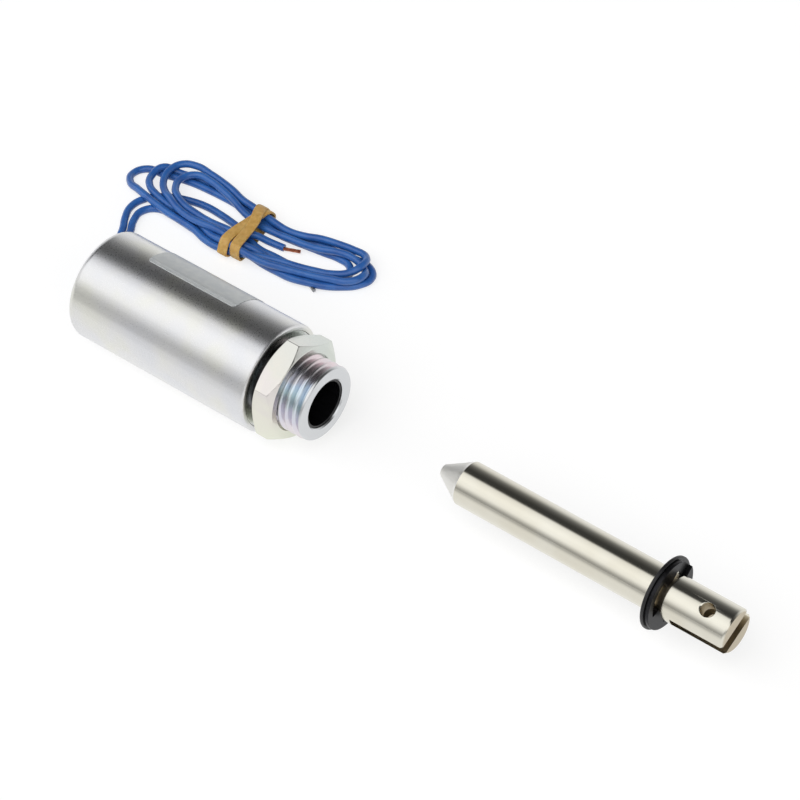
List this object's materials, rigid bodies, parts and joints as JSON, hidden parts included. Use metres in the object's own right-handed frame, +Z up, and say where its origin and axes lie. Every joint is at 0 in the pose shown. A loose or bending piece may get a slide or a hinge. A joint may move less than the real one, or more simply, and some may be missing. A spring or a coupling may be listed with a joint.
{
  "type": "push pull solenoid",
  "caption": "Tubular pull solenoid with a threaded nose and jam nut, its slotted cone-tipped plunger drawn out of the bore, and two leads tied in a hank.",
  "frame": {"origin": "on the solenoid's axis, in the plane of the case's front rim", "axes": "+X along the axis and out of the threaded nose towards the plunger's clevis; +Z up, away from the floor the case lies on; +Y to the side on which the leads lie"},
  "size_m": [0.202, 0.0662, 0.0261],
  "materials": {
    "zinc_case": "bright zinc plate over drawn steel, satin",
    "nose_plate": "zinc plate with a pale iridescent passivate",
    "nut_plate": "zinc plate with a cream and pink iridescent passivate",
    "black_sleeve": "black lined guide tube, smooth",
    "pole_iron": "turned soft iron, nickel flash",
    "shim_brass": "punched half-hard brass",
    "bobbin_nylon": "natural glass-filled nylon, moulded",
    "magnet_wire": "enamelled copper wire, layer wound",
    "coil_tape": "amber polyester film tape",
    "pressboard": "punched electrical pressboard",
    "grommet_rubber": "black moulded rubber",
    "shrink_tube": "heat-shrink sleeving",
    "label_film": "bare silver polyester film, satin",
    "blue_pvc": "blue extruded PVC insulation",
    "tinned_copper": "tinned stranded copper, twisted",
    "bare_copper": "bare stranded copper, twisted",
    "band_rubber": "natural rubber, slightly translucent",
    "washer_rubber": "black rubber, punched from sheet",
    "spring_steel": "phosphated spring steel, oiled",
    "plunger_nickel": "turned free-cutting steel, nickel plated"
  },
  "bodies": {
    "housing": {"case": "zinc_case", "nose_bushing": "nose_plate", "guide_sleeve": "black_sleeve", "pole_stop": "pole_iron", "residual_shim": "shim_brass", "bobbin": "bobbin_nylon", "winding": "magnet_wire", "winding_tape": "coil_tape", "front_insulator": "pressboard", "rear_insulator": "pressboard", "lead_grommet": "grommet_rubber", "splice_sleeves": "shrink_tube", "label": "label_film", "lead_a": "blue_pvc", "lead_b": "blue_pvc", "lead_hank": "blue_pvc", "lead_tip_a": "tinned_copper", "lead_tip_b": "bare_copper", "rubber_band": "band_rubber"},
    "nut": {"jam_nut": "nut_plate"},
    "stop_rings": {"bumper_washer": "washer_rubber", "e_ring": "spring_steel"},
    "plunger": {"plunger": "plunger_nickel"}
  },
  "joints": [
    {"name": "plunger_slide", "type": "slide", "parent": "housing", "child": "stop_rings", "axis": [-1, 0, 0], "range_m": [0, 0.0898]},
    {"name": "plunger_spin", "type": "hinge", "parent": "stop_rings", "child": "plunger", "pos_m": [0.0836, 0, 0], "axis": [1, 0, 0], "continuous": true},
    {"name": "nut_turn", "type": "hinge", "parent": "housing", "child": "nut", "pos_m": [0.004, 0, 0], "axis": [1, 0, 0], "continuous": true}
  ]
}
